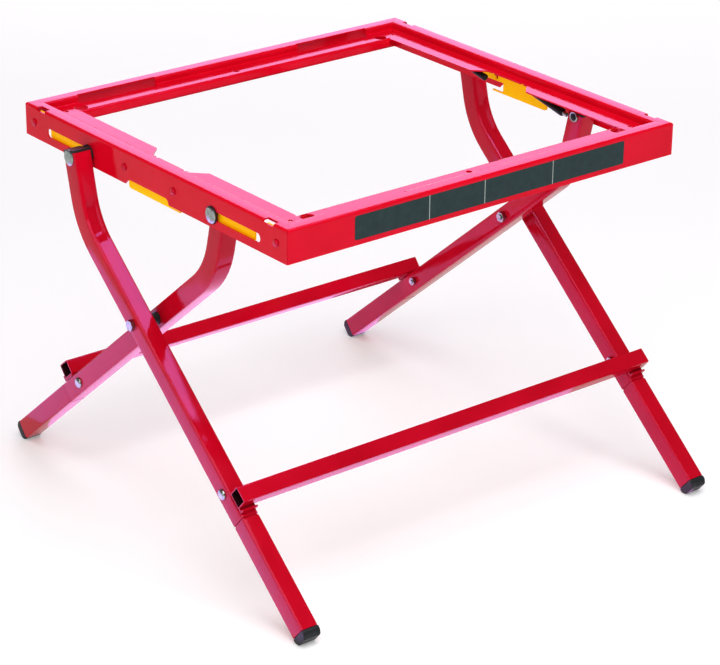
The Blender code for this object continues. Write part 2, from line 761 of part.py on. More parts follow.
def make_crossbar(name, lean, half_length, leg_x, axis):
    """Open-ended tube across a pair of legs, with a saddle plate welded under each end."""
    seat = LEG_DEPTH / 2 + GAP
    middle = seat + SADDLE + BAR_THICKNESS / 2
    bm = bmesh.new()
    section = rounded_box(BAR_WIDTH, BAR_THICKNESS, BAR_CORNER)
    corners = leg_outline([(BAR_ALONG + a, middle + c) for a, c in section], -half_length)
    spots = [bm.verts.new(corner) for corner in corners]
    loop = [bm.edges.new((here, there)) for here, there in zip(spots, spots[1:] + spots[:1])]
    extrude_loop(bm, loop, (2 * half_length, 0.0, 0.0))
    lean_over(bm, lean)
    bar = make_part(name, bm, "enamel", axis)
    tube_wall(bar, TUBE_WALL)

    top = seat + SADDLE
    above = BAR_ALONG - BAR_WIDTH / 2 + SADDLE_ABOVE
    below = BAR_ALONG + BAR_WIDTH / 2 + SADDLE_BELOW
    outline = [
        (above, seat),
        (below, seat),
        (below, top + SADDLE_LIP),
        (below - SADDLE, top + SADDLE_LIP),
        (below - SADDLE, top + WELD),
        (above, top + WELD),
    ]
    bm = bmesh.new()
    reach = LEG_WIDTH / 2 - LEG_CORNER / 2
    for side in (-1, 1):
        add_leg_prism(bm, outline, side * leg_x - reach, side * leg_x + reach)
    lean_over(bm, lean)
    boolean(bar, bm, "saddles", "UNION")


def make_nut(name, side, face, half_hex, thickness, bore, y, z, axis):
    """A hexagon nut on an inner face, drilled through."""
    start = side * (face - thickness)
    end = side * face
    bm = bmesh.new()
    add_rod(bm, start, end, y, z, half_hex / math.cos(math.pi / HEX_SIDES), HEX_SIDES)
    nut = make_part(name, bm, "zinc", axis)
    bm = bmesh.new()
    add_rod(bm, start - side * SPARE, end + side * SPARE, y, z, bore, SMALL_SIDES)
    boolean(nut, bm, "bore")


def make_pins(word, side):
    """Pins, bushes and push nuts at the tops of one side's two legs."""
    bore = PIN_RADIUS + HOLE_PLAY
    face = OUTER_FACE + GAP
    collar_face = WALL_INSIDE - GAP
    collar_end = collar_face - BUSH_COLLAR
    flange_face = OUTER_BACK - GAP
    wall_face = HALF_WIDTH + GAP

    profile = dome(face, PIN_HEAD_RADIUS, PIN_HEAD_RISE)
    profile += [(face, PIN_RADIUS), (collar_end, PIN_RADIUS), (collar_end, 0.0)]
    make_turned(word + "_outer_pin", side, profile, PIN_OFFSET, PIN_Z, "zinc", fold_axis)

    profile = [
        (flange_face, bore),
        (flange_face, BUSH_FLANGE_RADIUS),
        (wall_face, BUSH_FLANGE_RADIUS),
        (wall_face, BUSH_RADIUS),
        (collar_face, BUSH_RADIUS),
        (collar_face, BUSH_COLLAR_RADIUS),
        (collar_end, BUSH_COLLAR_RADIUS),
        (collar_end, bore),
    ]
    make_turned(word + "_rear_bush", side, profile, PIN_OFFSET, PIN_Z, "black_plastic", fold_axis, True)

    bush_face = wall_face + BUSH_FLANGE
    profile = [
        (bush_face, bore),
        (bush_face, BUSH_FLANGE_RADIUS),
        (wall_face, BUSH_FLANGE_RADIUS),
        (wall_face, BUSH_RADIUS),
        (WALL_INSIDE, BUSH_RADIUS),
        (WALL_INSIDE, bore),
    ]
    make_turned(word + "_front_bush", side, profile, -PIN_OFFSET, PIN_Z, "black_plastic", crossing_axis, True)

    head = bush_face + GAP
    nut_face = INNER_BACK - GAP
    end = nut_face - PUSH_NUT
    profile = dome(head, PIN_HEAD_RADIUS, PIN_HEAD_RISE)
    profile += [(head, PIN_RADIUS), (end, PIN_RADIUS), (end, 0.0)]
    make_turned(word + "_inner_pin", side, profile, -PIN_OFFSET, PIN_Z, "zinc", crossing_axis)
    profile = [
        (nut_face, bore),
        (nut_face, PUSH_NUT_RADIUS),
        (end, PUSH_NUT_RADIUS),
        (end, bore),
    ]
    name = word + "_inner_pin_nut"
    make_turned(name, side, profile, -PIN_OFFSET, PIN_Z, "zinc", crossing_axis, True)


def make_crossing(word, side):
    """Hex bolt, spacer and nut where one side's legs cross."""
    bore = CROSSING_RADIUS + HOLE_PLAY
    face = OUTER_FACE + GAP
    nut_face = INNER_BACK - GAP
    end = nut_face - CROSSING_NUT - THREAD_PROUD
    overlap = CROSSING_HEAD / 2
    bm = bmesh.new()
    corner = CROSSING_HEX / math.cos(math.pi / HEX_SIDES)
    add_rod(bm, side * face, side * (face + CROSSING_HEAD), 0.0, CROSSING_Z, corner, HEX_SIDES)
    bolt = make_part(word + "_crossing_bolt", bm, "zinc", fold_axis)
    bm = bmesh.new()
    add_rod(bm, side * end, side * (face + overlap), 0.0, CROSSING_Z, CROSSING_RADIUS)
    boolean(bolt, bm, "shank", "UNION")

    profile = [
        (OUTER_BACK - GAP, bore),
        (OUTER_BACK - GAP, SPACER_RADIUS),
        (INNER_FACE + GAP, SPACER_RADIUS),
        (INNER_FACE + GAP, bore),
    ]
    name = word + "_crossing_spacer"
    make_turned(name, side, profile, 0.0, CROSSING_Z, "black_plastic", fold_axis, True)
    name = word + "_crossing_nut"
    make_nut(name, side, nut_face, CROSSING_HEX, CROSSING_NUT, bore, 0.0, CROSSING_Z, crossing_axis)


def make_leg_bolt(prefix, side, lean, axis):
    """Dome-headed bolt and nut that hold a lower leg in its socket."""
    middle_x = OUTER_LEG_X if lean > 0 else INNER_LEG_X
    y, z = leg_point(LEG_BOLT_ALONG, 0.0)
    y *= lean
    face = middle_x + LEG_WIDTH / 2 + GAP
    nut_face = middle_x - LEG_WIDTH / 2 - GAP
    end = nut_face - LEG_NUT - THREAD_PROUD
    profile = dome(face, LEG_BOLT_HEAD_RADIUS, LEG_BOLT_HEAD_RISE)
    profile += [(face, LEG_BOLT_RADIUS), (end, LEG_BOLT_RADIUS), (end, 0.0)]
    make_turned(prefix + "_leg_bolt", side, profile, y, z, "zinc", axis, sides=SMALL_SIDES)
    bore = LEG_BOLT_RADIUS + HOLE_PLAY
    make_nut(prefix + "_leg_nut", side, nut_face, LEG_NUT_HEX, LEG_NUT, bore, y, z, axis)


def make_latch(word, side):
    """Sliding latch bar behind a side rail's wall: end tabs above, a finger plate below.

    Both bars are one pressing, so the right one is turned end for end.
    """
    top = TOP - LATCH_TOP_DROP
    bottom = TOP - LATCH_BOTTOM_DROP
    tab = TOP - LATCH_TAB_DROP
    low = TOP - HANDLE_DROP
    strip_end = -HANDLE_OPEN_END - HANDLE_STRIP_LENGTH
    corner = (HANDLE_PLAIN_END - HANDLE_CORNER, low + HANDLE_CORNER)
    outline = [
        (-LATCH_END, tab),
        (-LATCH_END, bottom),
        (-HANDLE_OPEN_END, bottom),
        (-HANDLE_OPEN_END, low + HANDLE_STRIP),
        (strip_end, low + HANDLE_STRIP),
        (strip_end, low),
    ]
    outline += arc(corner, HANDLE_CORNER, -90.0, 90.0, CORNER_STEPS)
    outline += [
        (HANDLE_PLAIN_END, bottom),
        (LATCH_END, bottom),
        (LATCH_END, tab),
        (LATCH_TAB_START, tab),
        (LATCH_TAB_START, top),
        (-LATCH_TAB_START, top),
        (-LATCH_TAB_START, tab),
    ]
    bm = bmesh.new()
    turned = [(-side * y, z) for y, z in outline]
    add_prism_x(bm, turned, side * LATCH_BACK, side * LATCH_FACE)
    bar = make_part(word + "_latch_bar", bm, "latch_yellow", latch_axes[word])

    bm = bmesh.new()
    inside = side * (LATCH_BACK - SPARE)
    outside = side * (LATCH_FACE + SPARE)
    low_run = PIN_Z - LATCH_RUN - LATCH_TRAVEL
    high_run = PIN_Z + LATCH_RUN
    folded = PIN_OFFSET + TRAVEL
    past = folded + LATCH_GAP_PAST
    ends = (
        (-folded - LATCH_RUN - SLOT_END_SPARE, -PIN_OFFSET + LATCH_RUN),
        (PIN_OFFSET - LATCH_RUN, PIN_OFFSET + LATCH_RUN),
        (past, past + LATCH_GAP),
    )
    for first, last in ends:
        add_prism_x(bm, rectangle(first, low_run, last, high_run), inside, outside)
    play = RIVET_RADIUS + RUN_PLAY
    level = TOP - RIVET_DROP
    for way in (-1, 1):
        y = way * GUIDE_RIVET_OFFSET
        guide = rectangle(y - play, level - play - LATCH_TRAVEL, y + play, level + play)
        add_prism_x(bm, guide, inside, outside)
    boolean(bar, bm, "openings")


make_cross_rail("front_rail", -1)
make_cross_rail("back_rail", 1)
for hand, sign in (("left", -1), ("right", 1)):
    make_side_rail(hand + "_rail", sign)
    for where, direction in (("front", -1), ("rear", 1)):
        corner_y = direction * CORNER_RIVET_OFFSET
        guide_y = direction * GUIDE_RIVET_OFFSET
        make_rivet(hand + "_" + where + "_corner_rivet", sign, corner_y, WALL_INSIDE - GAP)
        make_rivet(hand + "_" + where + "_guide_rivet", sign, guide_y, GUIDE_TAIL_FACE)
    for pair, leaning, pivot in (("outer", 1, fold_axis), ("inner", -1, crossing_axis)):
        make_leg(hand + "_" + pair, sign, leaning, pivot)
        make_leg_bolt(hand + "_" + pair, sign, leaning, pivot)
    make_pins(hand, sign)
    make_crossing(hand, sign)
    make_latch(hand, sign)
make_crossbar("front_crossbar", 1, OUTER_FACE, OUTER_LEG_X, fold_axis)
make_crossbar("rear_crossbar", -1, INNER_FACE, INNER_LEG_X, crossing_axis)
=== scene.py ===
# %% [markdown]
# # A folding saw stand in red enamel
# The stand is a rectangular frame of stepped sheet rails on two pairs of crossed tube legs.
# Its pins run in slots of the side rails, so the legs fold flat against the frame, and a yellow
# latch bar on each side keeps them open. The solids already have the right sizes and joints.
# This lesson loads them as a fixed frame, gives every surface its finish, adds the thin and small
# pieces that the solids leave out, and sets up the floor, the light and the camera.

# %% Load the stand
import math

import bmesh
import bpy
import numpy as np
from mathutils import Matrix, Vector


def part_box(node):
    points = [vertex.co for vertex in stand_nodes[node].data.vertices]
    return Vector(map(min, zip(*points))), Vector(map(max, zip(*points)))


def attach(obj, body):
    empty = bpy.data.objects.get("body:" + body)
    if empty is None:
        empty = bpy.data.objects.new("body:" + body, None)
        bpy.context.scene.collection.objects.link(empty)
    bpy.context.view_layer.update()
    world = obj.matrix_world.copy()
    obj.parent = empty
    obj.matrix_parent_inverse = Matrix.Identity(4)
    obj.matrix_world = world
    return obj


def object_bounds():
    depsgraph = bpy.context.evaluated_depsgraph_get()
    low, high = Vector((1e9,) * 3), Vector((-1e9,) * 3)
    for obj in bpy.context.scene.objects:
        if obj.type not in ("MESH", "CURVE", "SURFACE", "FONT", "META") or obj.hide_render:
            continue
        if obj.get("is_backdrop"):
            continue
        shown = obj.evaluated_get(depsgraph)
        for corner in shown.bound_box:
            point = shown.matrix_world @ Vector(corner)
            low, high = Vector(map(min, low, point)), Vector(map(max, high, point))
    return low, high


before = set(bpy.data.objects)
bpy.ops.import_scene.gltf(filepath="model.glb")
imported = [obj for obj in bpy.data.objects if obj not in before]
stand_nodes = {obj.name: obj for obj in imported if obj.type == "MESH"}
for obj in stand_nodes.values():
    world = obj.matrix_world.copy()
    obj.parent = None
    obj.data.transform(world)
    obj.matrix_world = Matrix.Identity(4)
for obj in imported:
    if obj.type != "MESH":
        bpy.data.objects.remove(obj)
cad_low, cad_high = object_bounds()
rim_height = cad_high.z

# %% [markdown]
# ## Rolled edges
# Real sheet and tube have bends, not creases. The solids have those bends in a few flat strips,
# and their triangles are loose, so plain shading would show every strip. A small geometry node
# group welds the triangles and lets the light run smoothly over every edge that turns by less
# than a set angle. A Weighted Normal modifier then keeps the big flats truly flat. Both are live
# modifiers, so the solids' own meshes stay as they came. The group also marks the faces that look
# at another wall of their own piece close by, such as the inside of a tube, and a finish can read
# the mark to lay painted shade there, darkening the hollows where little light gets in.

# %% Weld the solids and smooth their bends
BEND_LIMIT = math.radians(38.0)
WELD_REACH = 0.00001
# Faces that see their own piece within HIDDEN_REACH get the mark HIDDEN_MARK, where a finish lays
# painted shade.
HIDDEN_REACH, HIDDEN_LIFT = 0.03, 0.0002
HIDDEN_MARK = "hollow_shade_mark"


def rolled_edge_group():
    """Weld points that coincide, shade all faces smooth, then mark as sharp each edge whose two
    faces turn by more than BEND_LIMIT. A ray of HIDDEN_REACH along each face's normal, started
    HIDDEN_LIFT above the face, tells whether it looks at its own piece."""
    group = bpy.data.node_groups.new("rolled_edges", "GeometryNodeTree")
    group.interface.new_socket("Geometry", in_out="INPUT", socket_type="NodeSocketGeometry")
    group.interface.new_socket("Geometry", in_out="OUTPUT", socket_type="NodeSocketGeometry")
    nodes, links = group.nodes, group.links
    start, end = nodes.new("NodeGroupInput"), nodes.new("NodeGroupOutput")
    weld = nodes.new("GeometryNodeMergeByDistance")
    weld.inputs["Distance"].default_value = WELD_REACH
    turn = nodes.new("GeometryNodeInputMeshEdgeAngle")
    folded = nodes.new("FunctionNodeCompare")
    folded.operation = "GREATER_THAN"
    folded.inputs["B"].default_value = BEND_LIMIT
    all_faces, all_edges, folds = (nodes.new("GeometryNodeSetShadeSmooth") for _ in range(3))
    all_faces.domain = "FACE"
    all_edges.domain = folds.domain = "EDGE"
    folds.inputs["Shade Smooth"].default_value = False
    links.new(turn.outputs["Unsigned Angle"], folded.inputs["A"])
    links.new(folded.outputs["Result"], folds.inputs["Selection"])
    spot, facing = nodes.new("GeometryNodeInputPosition"), nodes.new("GeometryNodeInputNormal")
    lifted = nodes.new("ShaderNodeVectorMath")
    lifted.operation = "MULTIPLY_ADD"
    lifted.inputs[1].default_value = (HIDDEN_LIFT, HIDDEN_LIFT, HIDDEN_LIFT)
    look = nodes.new("GeometryNodeRaycast")
    look.inputs["Ray Length"].default_value = HIDDEN_REACH
    mark = nodes.new("GeometryNodeStoreNamedAttribute")
    mark.data_type, mark.domain = "FLOAT", "FACE"
    mark.inputs["Name"].default_value = HIDDEN_MARK
    links.new(facing.outputs[0], lifted.inputs[0])
    links.new(spot.outputs[0], lifted.inputs[2])
    links.new(start.outputs[0], look.inputs["Target Geometry"])
    links.new(lifted.outputs[0], look.inputs["Source Position"])
    links.new(facing.outputs[0], look.inputs["Ray Direction"])
    links.new(look.outputs["Is Hit"], mark.inputs["Value"])
    chain = [start, weld, all_faces, all_edges, folds, mark, end]
    for before, after in zip(chain, chain[1:]):
        links.new(before.outputs[0], after.inputs[0])
    return group


rolled_edges = rolled_edge_group()


def roll_edges(piece):
    """Give one piece the two live modifiers that make its bends read as rolled."""
    piece.modifiers.new("rolled_edges", "NODES").node_group = rolled_edges
    flats = piece.modifiers.new("true_flats", "WEIGHTED_NORMAL")
    flats.keep_sharp = True


for solid in stand_nodes.values():
    roll_edges(solid)
print(f"rolled the edges of {len(stand_nodes)} solids")

# %% [markdown]
# ## Building blocks of a finish
# No surface is one flat colour, so every finish here grows from noise on Object coordinates, which
# stays put when the stand folds. A few small helpers do the repeated work: make a noise, spread
# it over a range, mix or cover colours with it, and turn it into a shallow bump.

# %% Helpers for finishes
NOISE_LOW, NOISE_HIGH = 0.3, 0.7


def noise_over(tree, scale, detail, softness=0.5):
    """A noise texture on Object coordinates; scale counts its waves per metre."""
    place = tree.nodes.new("ShaderNodeTexCoord")
    noise = tree.nodes.new("ShaderNodeTexNoise")
    noise.inputs["Scale"].default_value = scale
    noise.inputs["Detail"].default_value = detail
    noise.inputs["Roughness"].default_value = softness
    tree.links.new(place.outputs["Object"], noise.inputs["Vector"])
    return noise.outputs["Fac"]


def spread_to(tree, value, low, high):
    """Carry a noise value from its middle band, NOISE_LOW to NOISE_HIGH, to low ... high."""
    spread = tree.nodes.new("ShaderNodeMapRange")
    spread.inputs["From Min"].default_value = NOISE_LOW
    spread.inputs["From Max"].default_value = NOISE_HIGH
    spread.inputs["To Min"].default_value = low
    spread.inputs["To Max"].default_value = high
    tree.links.new(value, spread.inputs["Value"])
    return spread.outputs["Result"]


def blend_colours(tree, share, thin, thick):
    """The mix thin * (1 - share) + thick * share of two colours."""
    blend = tree.nodes.new("ShaderNodeMix")
    blend.data_type = "RGBA"
    blend.inputs["A"].default_value = (*thin, 1.0)
    blend.inputs["B"].default_value = (*thick, 1.0)
    tree.links.new(share, blend.inputs["Factor"])
    return blend.outputs["Result"]


def lay_over(tree, share, under, colour):
    """The mix under * (1 - share) + colour * share, where under is another node's colour."""
    cover = tree.nodes.new("ShaderNodeMix")
    cover.data_type = "RGBA"
    cover.inputs["B"].default_value = (*colour, 1.0)
    tree.links.new(share, cover.inputs["Factor"])
    tree.links.new(under, cover.inputs["A"])
    return cover.outputs["Result"]


def ripple(tree, height, depth, strength):
    """A bump whose full height is depth metres."""
    bump = tree.nodes.new("ShaderNodeBump")
    bump.inputs["Strength"].default_value = strength
    bump.inputs["Distance"].default_value = depth
    tree.links.new(height, bump.inputs["Height"])
    return bump.outputs["Normal"]


def new_finish(name):
    """An empty node material, its tree and its shader."""
    finish = bpy.data.materials.new(name)
    finish.use_nodes = True
    return finish, finish.node_tree, finish.node_tree.nodes["Principled BSDF"]


print(f"noise from {NOISE_LOW} to {NOISE_HIGH} spreads over the whole of a finish")

# %% [markdown]
# ## Baked enamel
# The frame and legs are dipped or sprayed and then baked, which leaves a hard glossy skin with a
# faint orange-peel ripple a few millimetres across. Colour in the skin wanders a little where it
# lies thicker. Seen at a low angle the flat tops look pink: that is the gloss, a mirror image of
# the studio, and it is left to the shader and the lights. The yellow of the latch bars has a weak
# glow, which is painted light: it brightens the yellow that lies in the shade behind the slots.

# %% Enamel finish
POOL_WAVES, GLOSS_WAVES, PEEL_WAVES = 14.0, 60.0, 380.0
PEEL_BUMP = (0.00012, 0.22)
RED_SHEEN, YELLOW_SHEEN = (0.85, 0.5, 1.0), (1.0, 0.8, 0.2)
RED_GLOSS, YELLOW_GLOSS = (0.07, 0.12), (0.2, 0.28)
# Painted shade: a near-black red for the hollows, such as the insides of the tubes.
HOLLOW_SHADE = (0.030, 0.006, 0.008)
# Painted light: the latch yellow glows a little so it stays bright in the shade of the slots.
YELLOW_PAINTED_GLOW = 0.15


def enamel(name, thin, thick, shine, shine_tint, gloss, hollow_shade=None, painted_glow=0.0):
    """Baked enamel: two depths of one colour, an uneven gloss and an orange-peel ripple. Where a
    colour for the hollows is given, it is laid as painted shade on the faces marked as looking at
    their own piece close by. A glow above zero is painted light: it adds that share of the deeper
    colour as light of its own."""
    finish, tree, shader = new_finish(name)
    pooled = spread_to(tree, noise_over(tree, POOL_WAVES, 3.0), 0.0, 1.0)
    uneven = spread_to(tree, noise_over(tree, GLOSS_WAVES, 2.0), *gloss)
    peel = noise_over(tree, PEEL_WAVES, 1.0)
    paint = blend_colours(tree, pooled, thin, thick)
    if hollow_shade is not None:
        # Painted shade: the marked hollow faces take the dark hollow colour.
        inside = tree.nodes.new("ShaderNodeAttribute")
        inside.attribute_name = HIDDEN_MARK
        paint = lay_over(tree, inside.outputs["Fac"], paint, hollow_shade)
    tree.links.new(paint, shader.inputs["Base Color"])
    tree.links.new(uneven, shader.inputs["Roughness"])
    tree.links.new(ripple(tree, peel, *PEEL_BUMP), shader.inputs["Normal"])
    shader.inputs["Specular IOR Level"].default_value = shine
    shader.inputs["Specular Tint"].default_value = (*shine_tint, 1.0)
    # Painted light: emission from the paint itself, though it is no lamp.
    shader.inputs["Emission Color"].default_value = (*thick, 1.0)
    shader.inputs["Emission Strength"].default_value = painted_glow
    return finish


crimson_enamel = enamel("crimson_enamel", (0.69, 0.002, 0.016), (0.61, 0.001, 0.010),
                        0.14, RED_SHEEN, RED_GLOSS)
# Painted shade: a darker copy of the frame's red for the parts under and around the frame.
shaded_red_enamel = enamel("shaded_red_enamel", (0.55, 0.002, 0.016), (0.46, 0.001, 0.010),
                    0.20, RED_SHEEN, RED_GLOSS, hollow_shade=HOLLOW_SHADE)
latch_enamel = enamel("latch_enamel", (1.0, 0.53, 0.001), (0.98, 0.49, 0.001),
                      0.04, YELLOW_SHEEN, YELLOW_GLOSS, painted_glow=YELLOW_PAINTED_GLOW)
print("enamels:", crimson_enamel.name, shaded_red_enamel.name, latch_enamel.name)

# %% [markdown]
# ## Zinc plate and moulded plastic
# Bolts, pins and nuts are steel with bright zinc on it: a metal whose gloss changes from spot to
# spot. Feet, leg caps and bushes are moulded from a black plastic that has a fine leathery grain
# from its mould, and it is scuffed a little lighter in places.

# %% Zinc and plastic finishes
ZINC_LIGHT, ZINC_DARK = (0.40, 0.44, 0.42), (0.20, 0.23, 0.22)
ZINC_GLOSS = (0.12, 0.26)
CLOUD_WAVES, PLATE_WAVES = 220.0, 1500.0
SCUFF_WAVES, SATIN_WAVES, GRAIN_WAVES = 45.0, 110.0, 1300.0
PLATE_BUMP, GRAIN_BUMP = (0.00004, 0.2), (0.00015, 0.3)


def zinc_plate(name):
    """Plated steel: metal whose colour and gloss both follow one fine noise."""
    finish, tree, shader = new_finish(name)
    cloud = noise_over(tree, CLOUD_WAVES, 4.0, 0.6)
    share = spread_to(tree, cloud, 0.0, 1.0)
    plate = blend_colours(tree, share, ZINC_LIGHT, ZINC_DARK)
    grain = ripple(tree, noise_over(tree, PLATE_WAVES, 1.0), *PLATE_BUMP)
    tree.links.new(plate, shader.inputs["Base Color"])
    tree.links.new(spread_to(tree, cloud, *ZINC_GLOSS), shader.inputs["Roughness"])
    tree.links.new(grain, shader.inputs["Normal"])
    shader.inputs["Metallic"].default_value = 1.0
    return finish


def moulded_black(name, dark, scuffed, gloss, shine):
    """Black plastic: scuffs in broad patches and a mould grain under a millimetre across."""
    finish, tree, shader = new_finish(name)
    scuff = spread_to(tree, noise_over(tree, SCUFF_WAVES, 5.0, 0.65), 0.0, 1.0)
    satin = spread_to(tree, noise_over(tree, SATIN_WAVES, 3.0), *gloss)
    grain = ripple(tree, noise_over(tree, GRAIN_WAVES, 2.0), *GRAIN_BUMP)
    tree.links.new(blend_colours(tree, scuff, dark, scuffed), shader.inputs["Base Color"])
    tree.links.new(satin, shader.inputs["Roughness"])
    tree.links.new(grain, shader.inputs["Normal"])
    shader.inputs["Specular IOR Level"].default_value = shine
    return finish


bright_zinc = zinc_plate("bright_zinc")
foot_plastic = moulded_black("foot_plastic", (0.006, 0.007, 0.008), (0.020, 0.022, 0.024),
                             (0.32, 0.5), 0.2)
print("finishes:", bright_zinc.name, foot_plastic.name)

# %% [markdown]
# ## Which solid wears which finish
# Each solid comes with a slot name that says what it is made of, and the slot picks the finish.
# The legs, crossbars, spacers and rivets take a darker copy of the frame's red: painted shade,
# which darkens most of all the legs and crossbars that stand under the frame.

# %% Put the finishes on the solids
# Solids with these words in their names get the darker red, which is painted shade.
SHADED_RED_WORDS = ("leg", "crossbar", "spacer", "rivet")
finish_of_slot = {
    "red_enamel": crimson_enamel,
    "latch_yellow": latch_enamel,
    "zinc": bright_zinc,
    "black_plastic": foot_plastic,
}
worn = {slot: 0 for slot in finish_of_slot}
for node, solid in stand_nodes.items():
    is_shaded = any(word in node for word in SHADED_RED_WORDS)
    for place in solid.material_slots:
        slot = place.material.name.split(".")[0]
        place.material = shaded_red_enamel if is_shaded and slot == "red_enamel" else finish_of_slot[slot]
        worn[slot] += 1
print("solids in each finish:", worn)

# %% [markdown]
# ## One way to make a small piece
# Every small piece below is a stack of closed rings with a flat face at each end. Ring after ring
# is worked out as one array, and neighbouring rings are joined by four-sided faces. A turned part,
# a plate with round corners and a tapered sleeve differ only in the formula for their rings.

# %% Rings to a piece
HANDS = (("left", -1), ("right", 1))


def ring_stack(name, rings, finish, body):
    """A closed skin over rings[k, i, xyz]: face (k, i) joins points i and i + 1 of rings k and
    k + 1, and the first and last ring are shut by one flat face each."""
    count, around = rings.shape[:2]
    k, i = np.meshgrid(np.arange(count - 1), np.arange(around), indexing="ij")
    here, there = k * around, (k + 1) * around
    following = (i + 1) % around
    sides = np.stack([here + i, here + following, there + following, there + i], axis=-1)
    last = (count - 1) * around
    ends = [list(range(around)), list(range(last, last + around))]
    mesh = bpy.data.meshes.new(name)
    mesh.from_pydata(rings.reshape(-1, 3).tolist(), [], sides.reshape(-1, 4).tolist() + ends)
    skin = bmesh.new()
    skin.from_mesh(mesh)
    bmesh.ops.recalc_face_normals(skin, faces=skin.faces)
    skin.to_mesh(mesh)
    skin.free()
    mesh.materials.append(finish)
    piece = bpy.data.objects.new(name, mesh)
    bpy.context.scene.collection.objects.link(piece)
    roll_edges(piece)
    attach(piece, body)


print("sides of the stand:", *(hand for hand, side in HANDS))

# %% [markdown]
# ## The label panel on the front rail
# A thin vinyl panel is stuck on the front wall. Here it is blank: a dark slate sheet with round
# corners, four fields and hairline dividers between them. Its outline is a rounded rectangle, and
# its rings are that outline at three depths, the last one pulled in a little for a soft edge.

# %% Label panel's shape
FRONT_WALL = float(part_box("front_rail")[0].y)
LABEL_LEFT, LABEL_RIGHT = -0.214, 0.227
LABEL_TOP, LABEL_BOTTOM = rim_height - 0.0060, rim_height - 0.0372
LABEL_CORNER = 0.0028
CORNER_POINTS = 9


def rounded_outline(width, height, corner, points=CORNER_POINTS):
    """Points round a rectangle with quarter-circle corners: corner centre + corner * (cos, sin)."""
    angle = np.radians(90.0) * np.linspace(0.0, 1.0, points)
    quarter = np.arange(4)[:, None] * np.radians(90.0) + angle[None, :]
    across = np.array([1, -1, -1, 1])[:, None] * (width / 2 - corner)
    upward = np.array([1, 1, -1, -1])[:, None] * (height / 2 - corner)
    return np.stack([across + corner * np.cos(quarter), upward + corner * np.sin(quarter)],
                    axis=-1).reshape(-1, 2)


def label_rings(stuck_in=0.00005, proud=0.00022, soft_edge=0.0001):
    """Three outlines: in the wall, at the edge of the face, and the face pulled in by soft_edge."""
    width, height = LABEL_RIGHT - LABEL_LEFT, LABEL_TOP - LABEL_BOTTOM
    full = rounded_outline(width, height, LABEL_CORNER)
    small = rounded_outline(width - 2 * soft_edge, height - 2 * soft_edge, LABEL_CORNER)
    flat = np.stack([full, full, small])
    depth = np.array([stuck_in, soft_edge - proud, -proud])
    rings = np.empty(flat.shape[:2] + (3,))
    rings[..., 0] = flat[..., 0] + (LABEL_LEFT + LABEL_RIGHT) / 2
    rings[..., 1] = FRONT_WALL + depth[:, None]
    rings[..., 2] = flat[..., 1] + (LABEL_TOP + LABEL_BOTTOM) / 2
    return rings


print(f"label panel {LABEL_RIGHT - LABEL_LEFT:.3f} m long on the wall at y = {FRONT_WALL:.4f} m")

# %% [markdown]
# ## Printed vinyl
# The panel's colour is printed on satin vinyl. The dividers are part of the print, so they are
# drawn in the finish: a Math node compares x with the place of each divider, and the largest of
# the answers tells where a pale line covers the slate.

# %% Label panel's finish
DIVIDERS, DIVIDER_WIDTH = (-0.098, -0.009, 0.104), 0.0011
SLATE_DARK, SLATE_LIGHT = (0.012, 0.027, 0.030), (0.019, 0.038, 0.040)
DIVIDER_PALE = (0.36, 0.40, 0.37)
VINYL_GLOSS = (0.36, 0.46)
PRINT_WAVES, VINYL_WAVES = 90.0, 700.0
VINYL_BUMP = (0.00004, 0.15)


def slate_vinyl(name, dividers, line_width):
    """Satin vinyl: a slate colour with a faint print grain, and a pale hairline wherever x is
    within half of line_width of a divider."""
    finish, tree, shader = new_finish(name)
    place = tree.nodes.new("ShaderNodeTexCoord")
    split = tree.nodes.new("ShaderNodeSeparateXYZ")
    tree.links.new(place.outputs["Object"], split.inputs["Vector"])
    lines = None
    for x in dividers:
        near = tree.nodes.new("ShaderNodeMath")
        near.operation = "COMPARE"
        near.inputs[1].default_value = x
        near.inputs[2].default_value = line_width / 2
        tree.links.new(split.outputs["X"], near.inputs[0])
        if lines is None:
            lines = near.outputs[0]
        else:
            both = tree.nodes.new("ShaderNodeMath")
            both.operation = "MAXIMUM"
            tree.links.new(lines, both.inputs[0])
            tree.links.new(near.outputs[0], both.inputs[1])
            lines = both.outputs[0]
    print_grain = spread_to(tree, noise_over(tree, PRINT_WAVES, 4.0), 0.0, 1.0)
    slate = blend_colours(tree, print_grain, SLATE_DARK, SLATE_LIGHT)
    skin = ripple(tree, noise_over(tree, VINYL_WAVES, 2.0), *VINYL_BUMP)
    tree.links.new(lay_over(tree, lines, slate, DIVIDER_PALE), shader.inputs["Base Color"])
    tree.links.new(spread_to(tree, print_grain, *VINYL_GLOSS), shader.inputs["Roughness"])
    tree.links.new(skin, shader.inputs["Normal"])
    shader.inputs["Specular IOR Level"].default_value = 0.15
    return finish


label_vinyl = slate_vinyl("label_vinyl", DIVIDERS, DIVIDER_WIDTH)
ring_stack("rail_label", label_rings(), label_vinyl, "top_frame")
print(f"blank panel with {len(DIVIDERS)} dividers stuck on")

# %% [markdown]
# ## The latch bars' solid webs
# The yellow latch bar is a pressed strip behind the side wall, and it shows through the slots.
# The solid of the bar is open along the front slot so that the leg pin can run through it, and it
# stops just above the lower edge of the rear slot. On the real bar both stretches are sheet, so
# two plates a little thinner than the bar close them. The right bar hangs a millimetre higher.

# %% Latch webs
WEB_INSIDE, WEB_OUTSIDE = 0.3089, 0.3106
WEB_CORNER, WEB_CORNER_POINTS = 0.001, 4
WEB_LOW = {"left": rim_height - 0.0356, "right": rim_height - 0.0346}
WEB_REACH = {
    "front": (-0.2185, -0.1425, rim_height - 0.0223),
    "rear": (0.1455, 0.2312, rim_height - 0.0320),
}


